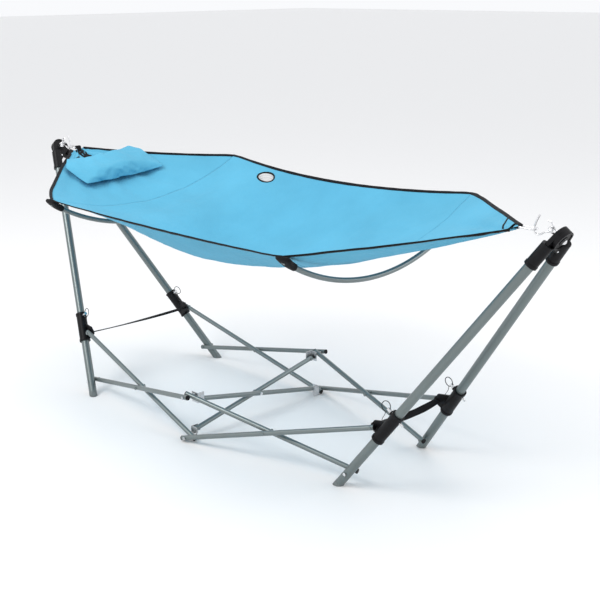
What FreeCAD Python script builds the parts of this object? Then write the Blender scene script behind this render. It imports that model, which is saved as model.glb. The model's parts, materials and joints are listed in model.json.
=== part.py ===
import FreeCAD, Part
import math
import os

# Portable folding hammock: a fabric bed hooked between two pairs of leaning legs that stand on a
# scissor-linked base. Millimetres. X runs along the hammock (head end negative, foot end positive),
# Y across it (near side negative), Z up, with the origin on the ground under the middle.

V = FreeCAD.Vector
os.makedirs("parts", exist_ok=True)

HEAD, FOOT = -1, 1
NEAR, FAR = -1, 1
END_NAME = {HEAD: "head", FOOT: "foot"}
SIDE_NAME = {NEAR: "near", FAR: "far"}

# --- driving dimensions -------------------------------------------------------------------------
# legs
LEG_R = 14.0
LEG_WALL = 1.2
HUB = V(1145, 0, 805)  # where the legs of the foot end are aimed
LEG_TOP_Y = 25.5  # leg axis beside that point
LEG_TOP_STEP = 7.5  # far legs sit this much further out than that point, near legs further in
GROUND_X = 566.0  # leg axis where it meets the ground
GROUND_Y = {HEAD: 294.6, FOOT: 194.1}  # the foot end stands less wide open
TUBE_END_GAP = 36.0  # the tube stops this far short of the hub bolt
# base bars
BAR_R = 8.0
BAR_WALL = 1.2
HIGH_Z = 155.0  # middle joints of the base
LOW_Z = 14.3
OUTER_Y = 316.5
INNER_Y = 293.5
FOOT_PIVOT_Z = 44.4
FOOT_PIVOT_Y = {HEAD: 255.6, FOOT: 156.0}
SLIDER_PIVOT = V(665.3, 0, 202.0)
SLIDER_PIVOT_Y = {HEAD: 233.0, FOOT: 160.0}
BAR_OVERRUN = 17.0  # bar beyond its middle joint
BAR_END = 9.0  # bar beyond its outer pivot
BAR_SPLAY = {HEAD: 0.10, FOOT: 0.24}  # how far the bars of an end lean sideways per millimetre
# rivets and pins
PIN_R = 3.0
HOLE_R = 3.08
LOOSE_HOLE_R = 4.2
RIVET_HEAD_R = 5.5
RIVET_HEAD = 2.0
FACE_GAP = 0.4
SPACER_R = 4.5
# sliding brackets
SLEEVE_R = 18.5
SLEEVE_BORE_R = 14.1
SLEEVE_LOW, SLEEVE_HIGH = 212.0, 322.0  # along the leg from the ground
EAR_THICK = 6.0
EAR_R = 13.0
# lock pins
LOCK_S = 308.0
LOCK_R = 3.2
LOCK_HOLE_R = 3.5
LOCK_HEAD = 14.0
LOCK_TAIL = 13.0
PULL_RING_R = 15.0
PULL_WIRE_R = 1.2
# hub
BOLT_RISE = 10.0  # hub bolt above HUB, in the plane of the legs
DISC_R = 31.0
DISC_THICK = 12.0
SOCKET_R = 17.5
SOCKET_LENGTH = 82.0
BOLT_R = 5.0
# hook and bed ring
WIRE_R = 2.5
EYE_R = 12.0
EYE_REACH = 16.5
RING_WIRE_R = 2.6
# bed
BED_ROLL = 4.0  # degrees, near side down
BED_SHIFT = 4.0
HOOK_Z = 826.0
SPREADER_X = 568.0
BED_HALF_WIDTH = 420.0
BED_EDGE_Z = 768.0
SHEET = 3.0
SPREADER_R = 8.0
SPREADER_BOW = 140.0
BED_END_X = 1020.0
PANEL_GAP = 0.4
# pillow: x, edge bottom and top, centre bottom and top
PILLOW_WIDTH = 376.0
PILLOW_SECTIONS = [
    (-905, 820, 836, 816, 854),
    (-800, 794, 815, 763, 828),
    (-695, 758, 776, 722, 772),
]


# --- helpers ------------------------------------------------------------------------------------
def unit(v):
    return V(v).multiply(1.0 / v.Length)


def rod(a, b, r):
    return Part.makeCylinder(r, (b - a).Length, a, unit(b - a))


def tube(a, b, r, wall):
    return rod(a, b, r).cut(rod(a, b, r - wall))


def fuse(shapes):
    whole = shapes[0].fuse(shapes[1:]) if len(shapes) > 1 else shapes[0]
    return whole.removeSplitter()


def export(name, shapes):
    """One STEP per node; a list holds separate solids."""
    solids = []
    for shape in shapes:
        solids.extend(shape.Solids)
    body = solids[0] if len(solids) == 1 else Part.makeCompound(solids)
    if not all(s.isValid() and s.Volume > 0 for s in solids):
        raise RuntimeError(name + " has an invalid solid")
    body.exportStep("parts/" + name + ".step")
    print(name, len(solids), "solid(s)", round(sum(s.Volume for s in solids)), "mm3")


def wire_path(points, share=0.45):
    """Straight runs joined by tangent arcs, each as large as its two runs allow."""
    edges = []
    start = points[0]
    for before, corner, after in zip(points, points[1:], points[2:]):
        d_in = unit(corner - before)
        d_out = unit(after - corner)
        trim = share * min((corner - before).Length, (after - corner).Length)
        a = corner - d_in * trim
        b = corner + d_out * trim
        half = d_in.getAngle(d_out) / 2
        radius = trim / math.tan(half)
        middle = corner + unit(d_out - d_in) * (radius / math.cos(half) - radius)
        edges.append(Part.makeLine(start, a))
        edges.append(Part.Arc(a, middle, b).toShape())
        start = b
    edges.append(Part.makeLine(start, points[-1]))
    return Part.Wire(edges)


def bent_wire(points, r):
    path = wire_path(points)
    profile = Part.Wire(Part.makeCircle(r, points[0], unit(points[1] - points[0])))
    return path.makePipeShell([profile], True, False)


def beside_bar(end, r):
    """How far from a splayed bar's axis a disc of radius r on a crosswise rivet has to lie."""
    return BAR_R * 1.03 + FACE_GAP + r * BAR_SPLAY[end]


def ring(centre, axis, r, wire):
    return Part.makeTorus(r, wire, centre, axis)


def node_name(kind, end, side):
    return "_".join((kind, END_NAME[end], SIDE_NAME[side]))


# --- skeleton -----------------------------------------------------------------------------------
def leg_ground(end, side):
    return V(end * GROUND_X, side * GROUND_Y[end], 0)


def leg_top(end, side):
    return V(end * (HUB.x + side * LEG_TOP_STEP), side * LEG_TOP_Y, HUB.z)


def leg_dir(end, side):
    return unit(leg_top(end, side) - leg_ground(end, side))


def leg_length(end, side):
    return (leg_top(end, side) - leg_ground(end, side)).Length


def leg_at(end, side, s):
    return leg_ground(end, side) + leg_dir(end, side) * s


def leg_at_height(end, side, z):
    return leg_at(end, side, z / leg_dir(end, side).z)


def foot_pivot(end, side):
    on_leg = leg_at_height(end, side, FOOT_PIVOT_Z)
    return V(on_leg.x, side * FOOT_PIVOT_Y[end], FOOT_PIVOT_Z)


def slider_pivot(end, side):
    return V(end * SLIDER_PIVOT.x, side * SLIDER_PIVOT_Y[end], SLIDER_PIVOT.z)


def low_joint(end, side):
    """Where the slider bar of that end meets the low middle joint."""
    return V(0, side * (INNER_Y if end == HEAD else OUTER_Y), LOW_Z)


def high_joint(end, side):
    """Where the leg bar of that end meets the high middle joint."""
    return V(0, side * (OUTER_Y if end == HEAD else INNER_Y), HIGH_Z)


def crossing(end, side):
    """The XZ place where a leg bar crosses its slider bar, on each bar's own axis."""
    a, b = high_joint(end, side), foot_pivot(end, side)
    c, d = low_joint(end, side), slider_pivot(end, side)
    ux, uz, wx, wz = b.x - a.x, b.z - a.z, d.x - c.x, d.z - c.z
    t = ((c.x - a.x) * wz - (c.z - a.z) * wx) / (ux * wz - uz * wx)
    on_leg_bar = a + (b - a) * t
    share = (on_leg_bar.x - c.x) / wx
    return on_leg_bar, c + (d - c) * share


def inward(end):
    """Square to the legs of an end, in the XZ plane, towards the middle and up."""
    d = leg_dir(end, FAR)
    return unit(V(-end * d.z, 0, abs(d.x)))


def up_legs(end):
    """Up along the legs of an end, in the XZ plane."""
    n = inward(end)
    return V(end * n.z, 0, abs(n.x))


def bolt_centre(end):
    """Middle of the hub bolt, whose axis is square to the legs."""
    return V(end * HUB.x, 0, HUB.z) + up_legs(end) * BOLT_RISE


# --- legs, caps and hubs ------------------------------------------------------------------------
def foot_cap(end, side):
    """A plug in the tube's foot, cut level so that it stands flat on the ground."""
    low = leg_at(end, side, -14)
    collar = rod(low, leg_at(end, side, 12.4), LEG_R + 0.3)
    plug = rod(leg_at(end, side, 8), leg_at(end, side, 26), LEG_R - LEG_WALL - 0.05)
    ground = Part.makeBox(200, 200, 60, leg_ground(end, side) - V(100, 100, 60))
    return collar.fuse(plug).cut(ground)


def leg(end, side):
    """Leg tube with the rivet that carries its base bar, drilled for the lock pin."""
    top = leg_length(end, side) - TUBE_END_GAP
    body = tube(leg_at(end, side, 12.5), leg_at(end, side, top), LEG_R, LEG_WALL)
    bar_y = foot_pivot(end, side).y
    on_leg = leg_at_height(end, side, FOOT_PIVOT_Z)
    outside = on_leg.y + side * (LEG_R + 1.2)
    inside = bar_y - side * beside_bar(end, RIVET_HEAD_R)
    rivet = along_y(on_leg, outside, inside, PIN_R)
    head = along_y(on_leg, outside, outside + side * RIVET_HEAD, RIVET_HEAD_R)
    far_head = along_y(on_leg, inside, inside - side * RIVET_HEAD, RIVET_HEAD_R)
    spacer_end = bar_y + side * beside_bar(end, SPACER_R)
    spacer = along_y(on_leg, on_leg.y - side * (LEG_R - 1), spacer_end, SPACER_R)
    body = fuse([body, rivet, head, far_head, spacer])
    pin_axis = inward(end)
    centre = leg_at(end, side, LOCK_S)
    return body.cut(rod(centre - pin_axis * 30, centre + pin_axis * 30, LOCK_HOLE_R))


def knuckle(end, side):
    """Black moulded hub half: a disc on the bolt and a leaning socket for the leg."""
    out = inward(end) * -1
    hub = bolt_centre(end)
    base = hub + out * (0.2 if side == FAR else -0.2 - DISC_THICK)
    disc = Part.makeCylinder(DISC_R, DISC_THICK, base, out)
    recess_at = base + out * (DISC_THICK - 2.0 if side == FAR else 0)
    recess = Part.makeCylinder(DISC_R - 5, 2.0, recess_at, out)
    recess = recess.cut(Part.makeCylinder(14, 2.0, recess_at, out))
    top = leg_length(end, side)
    mouth = leg_at(end, side, top - SOCKET_LENGTH)
    socket = rod(mouth, leg_at(end, side, top - 8), SOCKET_R)
    socket = socket.fuse(rod(mouth, leg_at(end, side, top - SOCKET_LENGTH + 8), SOCKET_R + 1.5))
    outwards, up = V(0, side, 0), up_legs(end)
    low = leg_at(end, side, top - 46)
    outline = [
        hub - outwards * DISC_R * 0.5 - up * DISC_R * 0.8,
        hub + outwards * DISC_R * 0.97 + up * DISC_R * 0.2,
        low + outwards * SOCKET_R,
        low - outwards * SOCKET_R,
    ]
    outline = [p + out * (base - p).dot(out) for p in outline]
    neck = Part.Face(Part.makePolygon(outline + outline[:1])).extrude(out * DISC_THICK)
    # room for the disc of the other knuckle
    other = Part.makeCylinder(DISC_R + 1.0, 60, hub + out * side * 0.2, out * -side)
    bore_top = leg_at(end, side, top - TUBE_END_GAP + 0.3)
    bore = rod(leg_at(end, side, top - SOCKET_LENGTH - 5), bore_top, LEG_R + 0.02)
    hole_r = BOLT_R + (0.5 if side == FAR else 0.05)
    bolt_hole = rod(hub - out * 60, hub + out * 60, hole_r)
    return fuse([disc, neck, socket.cut(other)]).cut(recess).cut(bore).cut(bolt_hole)


def hub_bolt(end):
    """Bolt through both knuckles: a dome head outside and an eye inside for the hook."""
    out = inward(end) * -1
    outer = bolt_centre(end) + out * (DISC_THICK + 0.3)
    inner = bolt_centre(end) - out * (DISC_THICK + 0.3)
    shank = rod(inner, outer, BOLT_R)
    head = Part.makeCylinder(8.0, 3.0, outer, out)
    ball = Part.makeSphere(8.0, outer - out)
    dome = ball.common(Part.makeCylinder(8.0, 9.0, outer + out * 3.0, out))
    collar = rod(inner, inner - out * 5.0, 8.0)
    eye = ring(inner - out * EYE_REACH, up_legs(end), EYE_R, 3.0)
    return fuse([shank, head, dome, collar, eye])


# --- base linkage -------------------------------------------------------------------------------
def bar_ends(outer_end, middle_end):
    """Both tips of a bar's axis and its direction from the outer tip."""
    d = unit(middle_end - outer_end)
    return outer_end - d * BAR_END, middle_end + d * BAR_OVERRUN, d


def bar_tube(outer_end, middle_end):
    """The tube, short enough for the plug flanges at both ends."""
    a, b, d = bar_ends(outer_end, middle_end)
    return tube(a + d * 1.02, b - d * 1.02, BAR_R, BAR_WALL)


def bar_plugs(outer_end, middle_end):
    a, b, d = bar_ends(outer_end, middle_end)
    plugs = []
    for tip, way in ((a, d), (b, d * -1)):
        plug = rod(tip + way * 1.0, tip + way * 3.0, BAR_R - BAR_WALL - 0.02)
        plugs.append(plug.fuse(rod(tip - way * 1.8, tip + way * 1.0, BAR_R)))
    return plugs


def along_y(at, y_from, y_to, r):
    return rod(V(at.x, y_from, at.z), V(at.x, y_to, at.z), r)


def drilled(body, at, r):
    return body.cut(along_y(at, at.y - 20, at.y + 20, r))


def leg_bar(end, side):
    """From the leg's foot to the high middle joint."""
    body = bar_tube(foot_pivot(end, side), high_joint(end, side))
    body = drilled(body, crossing(end, side)[0], HOLE_R)
    body = drilled(body, foot_pivot(end, side), HOLE_R)
    return drilled(body, high_joint(end, side), LOOSE_HOLE_R)


def slider_bar(end, side):
    """From the sliding bracket to the low middle joint, with the crossing rivet fixed in it."""
    body = bar_tube(slider_pivot(end, side), low_joint(end, side))
    body = drilled(body, low_joint(end, side), HOLE_R)
    theirs, mine = crossing(end, side)
    way = 1 if theirs.y > mine.y else -1
    back = mine.y - way * (BAR_R - 1.4)
    front = theirs.y + way * beside_bar(end, RIVET_HEAD_R)
    rivet = along_y(mine, back, front, PIN_R)
    front_head = along_y(mine, front, front + way * RIVET_HEAD, RIVET_HEAD_R)
    back_head = along_y(mine, back, back - way * (1.4 + RIVET_HEAD), RIVET_HEAD_R)
    spacer = along_y(mine, mine.y + way * (BAR_R - 1), theirs.y - way * beside_bar(end, SPACER_R), SPACER_R)
    pivot = slider_pivot(end, side)
    outer = pivot.y + side * (BAR_R - 1.4)
    head = along_y(pivot, outer, outer + side * (1.4 + RIVET_HEAD), RIVET_HEAD_R)
    return fuse([body, rivet, front_head, back_head, spacer, head])


CROSS_X = 9.5  # each cross bar's plane beside the middle
CROSS_PIVOT_Y = 262.0
CROSS_RISE = 16.0  # cross bar pivot above the low joint and below the high one
PLATE = 2.5
PLATE_Y = INNER_Y - 14.0


def cross_bar_side(side, up):
    """-1 or 1: on which side of the middle plane the cross bar that ends here lies."""
    return -1 if (side == NEAR) == (up == 1) else 1


def connector(side, z, up):
    """Rivet of a middle joint with a bent plate whose leaf holds the end of a cross bar."""
    sx = cross_bar_side(side, up)
    pivot_z = z + up * CROSS_RISE
    leaf_x = sx * (CROSS_X + BAR_R + FACE_GAP)
    low, high = max(min(z, pivot_z) - 9, 1.0), max(z, pivot_z) + 9
    back = box(-sx * 9, leaf_x + sx * PLATE, side * PLATE_Y, side * (PLATE_Y - PLATE), low, high)
    leaf = box(leaf_x, leaf_x + sx * PLATE, side * PLATE_Y, side * (CROSS_PIVOT_Y - 9), low, high)
    at = V(0, 0, z)
    tip = side * (OUTER_Y + beside_bar(FOOT, RIVET_HEAD_R))
    rivet = along_y(at, side * (PLATE_Y - PLATE - 1.5), tip, PIN_R)
    head = along_y(at, tip, tip + side * RIVET_HEAD, RIVET_HEAD_R)
    spacer = along_y(at, side * (PLATE_Y - 1), side * (INNER_Y - beside_bar(FOOT, SPACER_R)), SPACER_R)
    stud_at = V(leaf_x + sx * PLATE, side * CROSS_PIVOT_Y, pivot_z)
    stud = rod(stud_at - V(sx, 0, 0), stud_at + V(sx * RIVET_HEAD, 0, 0), RIVET_HEAD_R)
    return fuse([back, leaf, rivet, head, spacer, stud])


def box(x1, x2, y1, y2, z1, z2):
    low = V(min(x1, x2), min(y1, y2), min(z1, z2))
    return Part.makeBox(abs(x2 - x1), abs(y2 - y1), abs(z2 - z1), low)


def cross_bar(low_side):
    """From the low joint of one side to the high joint of the other."""
    sx = cross_bar_side(low_side, 1)
    a = V(sx * CROSS_X, low_side * CROSS_PIVOT_Y, LOW_Z + CROSS_RISE)
    b = V(sx * CROSS_X, -low_side * CROSS_PIVOT_Y, HIGH_Z - CROSS_RISE)
    d = unit(b - a)
    body = tube(a - d * BAR_END, b + d * BAR_END, BAR_R, BAR_WALL)
    for at in (a, b):
        stud = rod(at - V(sx * (BAR_R - 1.4), 0, 0), at - V(sx * (BAR_R + RIVET_HEAD), 0, 0), RIVET_HEAD_R)
        body = body.fuse(stud)
    middle = (a + b) * 0.5
    return body.removeSplitter().cut(rod(middle - V(20, 0, 0), middle + V(20, 0, 0), HOLE_R))


def cross_rivet():
    middle = V(0, 0, (LOW_Z + HIGH_Z) / 2)
    reach = CROSS_X + BAR_R + FACE_GAP
    shank = rod(middle - V(reach + RIVET_HEAD, 0, 0), middle + V(reach + RIVET_HEAD, 0, 0), PIN_R)
    heads = [rod(middle + V(w * reach, 0, 0), middle + V(w * (reach + RIVET_HEAD), 0, 0), RIVET_HEAD_R)
             for w in (-1, 1)]
    between = CROSS_X - BAR_R - 0.3
    washer = rod(middle - V(between, 0, 0), middle + V(between, 0, 0), 6.0)
    return fuse([shank, washer] + heads)


# --- sliding brackets, lock pins and straps -----------------------------------------------------
def ear_outer_y(end):
    """The ear's face beside the slider bar, clear of the bar's splayed end."""
    return SLIDER_PIVOT_Y[end] - beside_bar(end, BAR_END)


def slide_bracket(end, side):
    """Black moulding that slides on the leg: sleeve, lock pin boss and the ear for its bar."""
    sleeve = rod(leg_at(end, side, SLEEVE_LOW), leg_at(end, side, SLEEVE_HIGH), SLEEVE_R)
    for s in (SLEEVE_LOW, SLEEVE_HIGH - 8):
        sleeve = sleeve.fuse(rod(leg_at(end, side, s), leg_at(end, side, s + 8), SLEEVE_R + 1.5))
    pivot = slider_pivot(end, side)
    n = inward(end)
    u = unit(V(leg_dir(end, side).x, 0, leg_dir(end, side).z))
    points = [
        leg_at(end, side, SLEEVE_LOW + 6),
        leg_at(end, side, SLEEVE_LOW + 2) + n * (SLEEVE_R - 1),
        pivot - u * EAR_R - n * 4,
        pivot - u * 10 + n * (EAR_R - 2),
        pivot + u * 16 + n * (EAR_R - 2),
        leg_at(end, side, SLEEVE_HIGH - 30),
    ]
    outer, inner = side * ear_outer_y(end), side * (ear_outer_y(end) - EAR_THICK)
    points = [V(p.x, outer, p.z) for p in points]
    ear = Part.Face(Part.makePolygon(points + points[:1])).extrude(V(0, inner - outer, 0))
    boss = along_y(pivot, outer, inner, EAR_R)
    rivet_head = along_y(pivot, inner + side * 1, inner - side * RIVET_HEAD, RIVET_HEAD_R)
    lock = leg_at(end, side, LOCK_S)
    lock_boss = rod(lock + n * 10, lock + n * (SLEEVE_R + 4), 7.5)
    solid = fuse([sleeve, ear, boss, rivet_head, lock_boss])
    bore = rod(leg_at(end, side, SLEEVE_LOW - 30), leg_at(end, side, SLEEVE_HIGH + 30), SLEEVE_BORE_R)
    solid = solid.cut(bore).cut(rod(lock - n * 40, lock + n * 60, LOCK_HOLE_R))
    return max(solid.Solids, key=lambda piece: piece.Volume)


def pull_ring_hole(end, side):
    return leg_at(end, side, LOCK_S) + inward(end) * (SLEEVE_R + 4.3 + LOCK_HEAD - 5.5)


def lock_pin(end, side):
    """Quick-release pin: head side and tail side of the shank on either side of the leg tube."""
    n = inward(end)
    at = leg_at(end, side, LOCK_S)
    seat = at + n * (SLEEVE_R + 4.3)
    shank = rod(at + n * (LEG_R + 0.3), seat + n * LOCK_HEAD, LOCK_R)
    front = fuse([shank, rod(seat, seat + n * 2.0, 6.5), rod(seat + n * 3.5, seat + n * LOCK_HEAD, 5.5)])
    hole = pull_ring_hole(end, side)
    across = leg_dir(end, side)
    front = front.cut(rod(hole - across * 20, hole + across * 20, PULL_WIRE_R + 1.6))
    tail = rod(at - n * (LEG_R + 0.3), at - n * (SLEEVE_R + LOCK_TAIL), LOCK_R)
    return [front, tail]


def pull_ring(end, side):
    """Split ring through the pin's head."""
    n = inward(end)
    centre = pull_ring_hole(end, side) + n * PULL_RING_R
    return ring(centre, leg_dir(end, side).cross(n), PULL_RING_R, PULL_WIRE_R)


STRAP_WIDTH = 25.0
STRAP_THICK = 2.0
STRAP_DROP = {HEAD: 4.0, FOOT: 12.0}


def strap(end):
    """Webbing between the two brackets of an end: taut at the head, slack at the foot."""
    y = ear_outer_y(end) - EAR_THICK - RIVET_HEAD - 0.6
    pivot = slider_pivot(end, NEAR)
    middle = V(pivot.x, 0, pivot.z)
    half, drop = V(0, 0, STRAP_THICK / 2), V(0, 0, STRAP_DROP[end])
    a, b, low = middle - V(0, y, 0), middle + V(0, y, 0), middle - drop
    upper = Part.Arc(a + half, low + half, b + half).toShape()
    lower = Part.Arc(a - half, low - half, b - half).toShape()
    ends = [Part.makeLine(a - half, a + half), Part.makeLine(b - half, b + half)]
    face = Part.Face(Part.Wire([lower, ends[1], upper, ends[0]]))
    return face.extrude(V(STRAP_WIDTH, 0, 0)).translated(V(-STRAP_WIDTH / 2, 0, 0))


# --- hook, ring and bed -------------------------------------------------------------------------
def s_hook(end):
    """From the bolt's eye, down under the bed ring and up to an open prong."""
    route = [
        (1112, 853),
        (1122, 851),
        (1128.5, 840),
        (1125, 828),
        (1113, 824),
        (1102, 822),
        (1092, 815),
        (1082, 812),
        (1073, 817),
        (1071, 829),
        (1076, 845),
        (1086, 865),
    ]
    return bent_wire([V(end * x, 0, z) for x, z in route], WIRE_R)


def bed_ring(end):
    """Long link between the hook and the bed's webbing, lying flat."""
    inner, outer, r = 1026.0, 1079.0, 11.0
    a, b = end * (outer - r), end * (inner + r)
    edges = [
        Part.makeLine(V(a, r, HOOK_Z), V(b, r, HOOK_Z)),
        Part.Arc(V(b, r, HOOK_Z), V(b - end * r, 0, HOOK_Z), V(b, -r, HOOK_Z)).toShape(),
        Part.makeLine(V(b, -r, HOOK_Z), V(a, -r, HOOK_Z)),
        Part.Arc(V(a, -r, HOOK_Z), V(a + end * r, 0, HOOK_Z), V(a, r, HOOK_Z)).toShape(),
    ]
    path = Part.Wire(edges)
    profile = Part.Wire(Part.makeCircle(RING_WIRE_R, V(a, r, HOOK_Z), V(-end, 0, 0)))
    return path.makePipeShell([profile], True, False)


def rolled(shape):
    """Tipped about the hooks; the small shift keeps the bed centred over the stand."""
    return shape.rotated(V(0, 0, HOOK_Z), V(1, 0, 0), BED_ROLL).translated(V(0, -BED_SHIFT, 0))


def trough(sections):
    """A sheet lofted through sagging cross-sections (x, half width, edge height, sag)."""
    wires = []
    for x, half, z, sag in sections:
        a, b = V(x, -half, z), V(x, half, z)
        top = Part.Arc(a, V(x, 0, z - sag), b).toShape()
        down = V(0, 0, -SHEET)
        low = Part.Arc(b + down, V(x, 0, z - sag) + down, a + down).toShape()
        wires.append(Part.Wire([top, Part.makeLine(b, b + down), low, Part.makeLine(a + down, a)]))
    return rolled(Part.makeLoft(wires, True, False))


def bed_panel_middle():
    """The part of the bed between the two spreader bars."""
    edge = BED_EDGE_Z
    half = BED_HALF_WIDTH
    x = SPREADER_X - 9
    return trough([
        (-x, half, edge, 100),
        (-x / 2, half - 30, edge - 21, 168),
        (0, half - 40, edge - 28, 190),
        (x / 2, half - 30, edge - 21, 168),
        (x, half, edge, 100),
    ])


def bed_panel_end(end):
    x = SPREADER_X - 9 + PANEL_GAP
    middle_x = (x + BED_END_X) / 2
    return trough([
        (end * x, BED_HALF_WIDTH, BED_EDGE_Z, 100),
        (end * middle_x, BED_HALF_WIDTH * 0.64, BED_EDGE_Z + 24, 60),
        (end * BED_END_X, 20, HOOK_Z - 2, 3),
    ])


def spreader_bar(end):
    """A bowed tube across the bed, under the fabric, its ends in the corner pockets."""
    x = end * SPREADER_X
    half = BED_HALF_WIDTH - 8
    z = BED_EDGE_Z - SHEET - SPREADER_R - 3
    a = V(x, -half, z)
    arc = Part.Arc(a, V(x, 0, z - SPREADER_BOW), V(x, half, z))
    path = Part.Wire(arc.toShape())
    way = arc.tangent(arc.FirstParameter)[0]
    skins = [path.makePipeShell([Part.Wire(Part.makeCircle(r, a, way))], True, False)
             for r in (SPREADER_R, SPREADER_R - BAR_WALL)]
    return rolled(skins[0].cut(skins[1]))


def pillow():
    """Soft head pillow bridging the head panel, as one cushion through three cross-sections."""
    half = PILLOW_WIDTH / 2
    wires = []
    for x, edge_low, edge_high, low, high in PILLOW_SECTIONS:
        a, b = V(x, -half, edge_low), V(x, half, edge_low)
        c, d = V(x, half, edge_high), V(x, -half, edge_high)
        under = Part.Arc(a, V(x, 0, low), b).toShape()
        over = Part.Arc(c, V(x, 0, high), d).toShape()
        wires.append(Part.Wire([under, Part.makeLine(b, c), over, Part.makeLine(d, a)]))
    return rolled(Part.makeLoft(wires, True, False))


# --- build --------------------------------------------------------------------------------------
for end in (HEAD, FOOT):
    for side in (NEAR, FAR):
        export(node_name("leg", end, side), [leg(end, side)])
        export(node_name("foot_cap", end, side), [foot_cap(end, side)])
        export(node_name("knuckle", end, side), [knuckle(end, side)])
        outer, middle = foot_pivot(end, side), high_joint(end, side)
        export(node_name("leg_bar", end, side), [leg_bar(end, side)])
        export(node_name("leg_bar_plugs", end, side), bar_plugs(outer, middle))
        outer, middle = slider_pivot(end, side), low_joint(end, side)
        export(node_name("slider_bar", end, side), [slider_bar(end, side)])
        export(node_name("slider_bar_plugs", end, side), bar_plugs(outer, middle))
        export(node_name("slide_bracket", end, side), [slide_bracket(end, side)])
        export(node_name("lock_pin", end, side), lock_pin(end, side))
        export(node_name("pull_ring", end, side), [pull_ring(end, side)])
    export("hub_bolt_" + END_NAME[end], [hub_bolt(end)])
    export("s_hook_" + END_NAME[end], [s_hook(end)])
    export("bed_ring_" + END_NAME[end], [bed_ring(end)])
    export("strap_" + END_NAME[end], [strap(end)])
    export("bed_panel_" + END_NAME[end], [bed_panel_end(end)])
    export("spreader_bar_" + END_NAME[end], [spreader_bar(end)])
export("low_connectors", [connector(side, LOW_Z, 1) for side in (NEAR, FAR)])
for side in (NEAR, FAR):
    export("high_connector_" + SIDE_NAME[side], [connector(side, HIGH_Z, -1)])
    export("cross_bar_low_" + SIDE_NAME[side], [cross_bar(side)])
export("cross_rivet", [cross_rivet()])
export("bed_panel_middle", [bed_panel_middle()])
export("pillow", [pillow()])
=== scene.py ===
import json
import math

import bmesh
import bpy
import numpy as np
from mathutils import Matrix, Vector, noise


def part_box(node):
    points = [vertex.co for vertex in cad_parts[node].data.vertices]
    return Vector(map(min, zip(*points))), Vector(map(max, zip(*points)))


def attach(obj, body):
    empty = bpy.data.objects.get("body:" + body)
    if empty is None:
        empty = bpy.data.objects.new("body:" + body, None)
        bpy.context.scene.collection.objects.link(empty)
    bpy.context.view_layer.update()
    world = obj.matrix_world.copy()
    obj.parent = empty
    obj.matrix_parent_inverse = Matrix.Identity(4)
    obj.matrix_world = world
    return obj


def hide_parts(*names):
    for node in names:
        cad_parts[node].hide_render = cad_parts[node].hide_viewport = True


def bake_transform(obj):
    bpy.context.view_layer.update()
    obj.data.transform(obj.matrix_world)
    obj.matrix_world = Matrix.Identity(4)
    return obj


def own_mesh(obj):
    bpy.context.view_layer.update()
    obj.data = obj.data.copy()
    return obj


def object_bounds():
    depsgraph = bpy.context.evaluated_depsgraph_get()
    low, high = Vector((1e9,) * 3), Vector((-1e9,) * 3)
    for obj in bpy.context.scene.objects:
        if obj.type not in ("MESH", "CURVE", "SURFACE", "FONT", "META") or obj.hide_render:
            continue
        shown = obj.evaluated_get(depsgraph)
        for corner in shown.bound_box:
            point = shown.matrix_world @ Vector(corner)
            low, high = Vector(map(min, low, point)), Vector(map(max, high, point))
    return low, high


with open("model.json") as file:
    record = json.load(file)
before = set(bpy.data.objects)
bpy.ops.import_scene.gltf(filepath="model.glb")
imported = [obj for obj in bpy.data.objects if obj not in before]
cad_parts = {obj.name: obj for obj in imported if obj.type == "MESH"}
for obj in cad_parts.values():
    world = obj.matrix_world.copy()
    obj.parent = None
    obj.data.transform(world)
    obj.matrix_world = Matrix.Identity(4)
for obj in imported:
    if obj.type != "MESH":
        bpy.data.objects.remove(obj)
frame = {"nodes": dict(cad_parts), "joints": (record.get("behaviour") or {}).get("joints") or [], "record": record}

CAD_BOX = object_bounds()
nodes = frame["nodes"]
scene = bpy.context.scene
collection = scene.collection

ENDS = {"head": -1, "foot": 1}
SIDES = {"near": -1, "far": 1}


# --- camera and light ------------------------------------------------------------------------------
camera = bpy.data.objects.new("camera", bpy.data.cameras.new("camera"))
camera.location = (2.5839, -2.3230, 1.4342)
camera.rotation_euler = (math.radians(73.66), math.radians(0.36), math.radians(45.51))
camera.data.sensor_width = 36.0
camera.data.lens = 64.74
camera.data.clip_end = 120
collection.objects.link(camera)
scene.camera = camera

world = bpy.data.worlds.new("studio")
world.use_nodes = True
world.node_tree.nodes["Background"].inputs["Color"].default_value = (0.97, 0.98, 1.0, 1)
world.node_tree.nodes["Background"].inputs["Strength"].default_value = 0.98
scene.world = world
scene.view_settings.view_transform = "Standard"


def area_light(name, at, aim, size, power, colour=(1, 1, 1)):
    data = bpy.data.lights.new(name, "AREA")
    data.shape = "RECTANGLE"
    data.size, data.size_y = size
    data.energy = power
    data.color = colour
    lamp = bpy.data.objects.new(name, data)
    lamp.location = at
    lamp.rotation_euler = (Vector(aim) - Vector(at)).to_track_quat("-Z", "Y").to_euler()
    collection.objects.link(lamp)


area_light("key", (-1.2, -2.8, 3.4), (0, 0, 0.6), (2.2, 1.4), 75, (1.0, 0.985, 0.97))
area_light("top", (0.6, 0.8, 3.6), (0, 0, 0.5), (3.0, 2.2), 22)
area_light("rim", (3.2, 2.4, 2.0), (0, 0, 0.6), (2.0, 2.0), 25, (0.94, 0.97, 1.0))


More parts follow.
